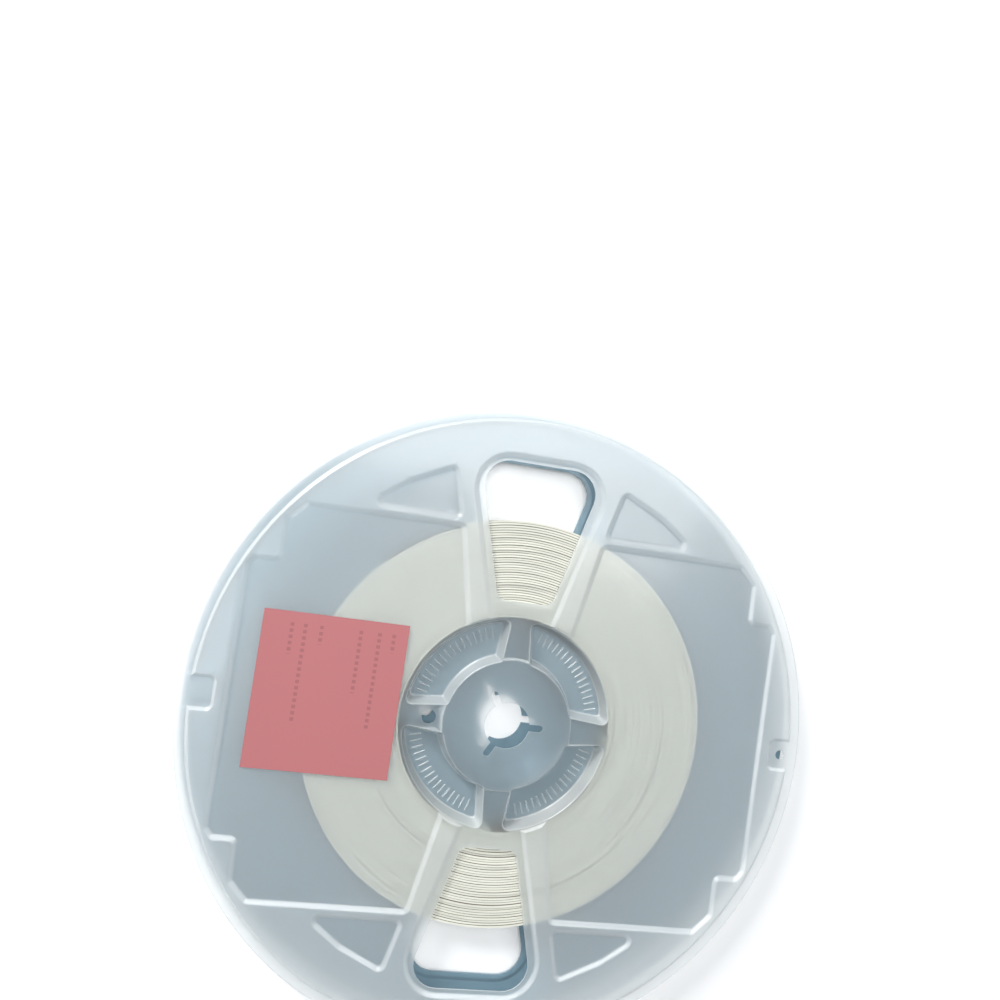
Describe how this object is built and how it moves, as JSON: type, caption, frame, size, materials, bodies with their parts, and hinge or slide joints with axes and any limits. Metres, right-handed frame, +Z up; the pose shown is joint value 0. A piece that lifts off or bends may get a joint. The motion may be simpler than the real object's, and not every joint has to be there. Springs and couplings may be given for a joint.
{
  "type": "smd tape reel",
  "caption": "Seven-inch carrier tape reel with two thin translucent flanges, a wound roll of narrow paper tape and a stuck-on paper label.",
  "frame": {"origin": "on the reel's axis, in the plane of the rear plateau that the reel lies on", "axes": "+Z up along the arbor axis, out of the front flange; +Y through the middle of one window; +X through the rim hole"},
  "size_m": [0.18, 0.18, 0.0114],
  "materials": {
    "reel_plastic": "milky translucent pale blue-grey formed sheet with a soft sheen",
    "tape_paper": "uncoated cream paper tape edges, turns showing as fine rings",
    "label_paper": "matt pink self-adhesive paper"
  },
  "bodies": {
    "root": {"front_half": "reel_plastic", "rear_half": "reel_plastic", "tape_roll": "tape_paper", "part_label": "label_paper"}
  },
  "joints": []
}
